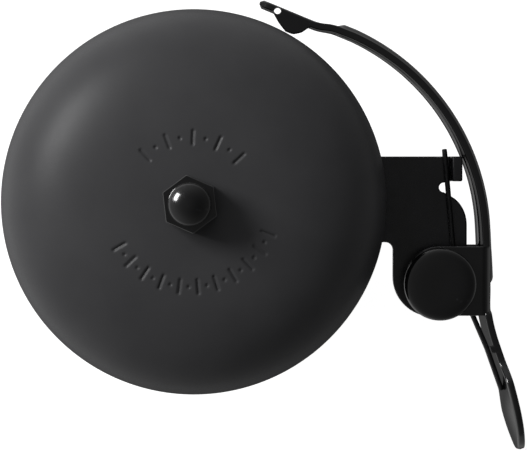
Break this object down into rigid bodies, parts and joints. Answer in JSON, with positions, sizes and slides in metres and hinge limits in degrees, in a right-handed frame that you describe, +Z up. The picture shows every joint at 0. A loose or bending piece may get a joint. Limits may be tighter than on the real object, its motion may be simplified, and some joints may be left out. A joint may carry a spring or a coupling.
{
  "type": "bicycle bell",
  "caption": "Lever-struck bicycle bell with a rounded steel dome, a sprung thumb lever on a curved arm and a band clamp for the handlebar.",
  "frame": {"origin": "centre of the handlebar bore, right under the dome's axis", "axes": "+Z up along the dome's axis, +Y along the handlebar, +X from the dome towards the lever"},
  "size_m": [0.1084, 0.0939, 0.0832],
  "materials": {
    "dome_coat": "fine textured matte",
    "gloss_black": "gloss",
    "satin_black": "satin",
    "black_wire": "satin",
    "black_hardware": "satin",
    "plain_steel": "satin",
    "rubber": "matte"
  },
  "bodies": {
    "frame": {"dome": "dome_coat", "cap_nut": "gloss_black", "dome_post": "plain_steel", "post_washer": "plain_steel", "damping_washer": "rubber", "bracket": "satin_black", "clamp_band": "satin_black", "clamp_liner": "rubber", "clamp_screw": "black_hardware", "clamp_washer": "black_hardware", "clamp_nut": "black_hardware", "torsion_spring": "black_wire", "spring_bush": "plain_steel", "thrust_washer": "plain_steel", "clamp_lock_washer": "black_hardware"},
    "striker_lever": {"lever": "gloss_black", "pivot_pin": "black_hardware", "pivot_cap": "gloss_black", "retaining_clip": "black_hardware", "clip_washer": "plain_steel"}
  },
  "joints": [
    {"name": "lever_swing", "type": "hinge", "parent": "frame", "child": "striker_lever", "pos_m": [0.05075, -0.017, 0.0181], "axis": [0, 0, -1], "range_deg": [0, 22], "stiffness_Nm_per_rad": 0.1, "springref_deg": -28.65, "deforming": ["torsion_spring"]}
  ]
}
